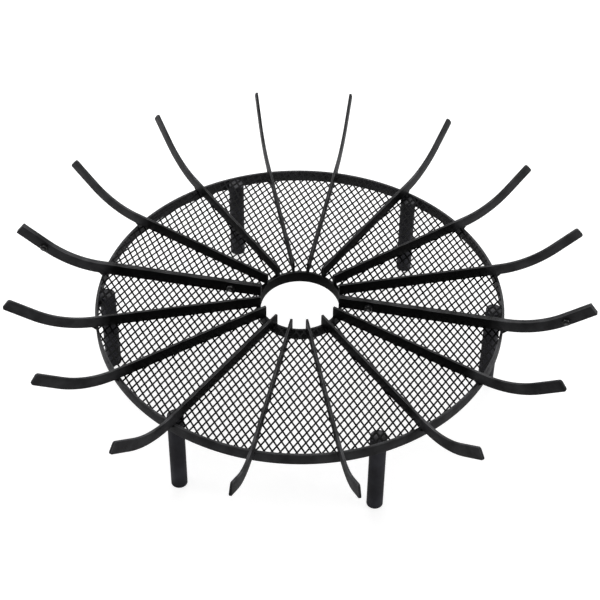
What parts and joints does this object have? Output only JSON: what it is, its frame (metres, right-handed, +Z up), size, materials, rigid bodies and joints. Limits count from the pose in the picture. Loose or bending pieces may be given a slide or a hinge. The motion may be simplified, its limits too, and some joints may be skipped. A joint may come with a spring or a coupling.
{
  "type": "fire pit grate",
  "caption": "Round wagon-wheel fire pit grate in two bolted halves: upturned flat-bar spokes on a ring and open hub, a diamond ember screen and round legs.",
  "frame": {"origin": "on the ground below the middle of the hub, which is the bottom centre of the bounding box", "axes": "+Z up; X along the straight seam between the halves; +Y towards the back half; the bolts' thread ends point to -Y"},
  "size_m": [0.914, 0.918, 0.2294],
  "materials": {
    "bars": "satin black heat paint over mill-finish flat bar, with lighter worn edges",
    "screen": "satin black paint on thin steel strands",
    "legs": "satin black paint on smooth round bar",
    "welds": "painted weld bead",
    "fasteners": "black-coated steel bolts and nuts, a little glossier than the bars"
  },
  "bodies": {
    "root": {"back_ring": "bars", "front_ring": "bars", "back_hub": "bars", "front_hub": "bars", "back_spoke_1": "bars", "back_spoke_2": "bars", "back_spoke_3": "bars", "back_spoke_4": "bars", "back_spoke_5": "bars", "back_spoke_6": "bars", "back_spoke_7": "bars", "front_spoke_1": "bars", "front_spoke_2": "bars", "front_spoke_3": "bars", "front_spoke_4": "bars", "front_spoke_5": "bars", "front_spoke_6": "bars", "front_spoke_7": "bars", "back_seam_bar_right": "bars", "back_seam_bar_left": "bars", "front_seam_bar_right": "bars", "front_seam_bar_left": "bars", "back_screen_lower": "screen", "back_screen_upper": "screen", "front_screen_lower": "screen", "front_screen_upper": "screen", "back_leg_1": "legs", "back_leg_2": "legs", "back_leg_3": "legs", "front_leg_1": "legs", "front_leg_2": "legs", "front_leg_3": "legs", "back_spoke_welds": "welds", "front_spoke_welds": "welds", "back_leg_welds": "welds", "front_leg_welds": "welds", "seam_bolts": "fasteners", "seam_nuts": "fasteners"}
  },
  "joints": []
}
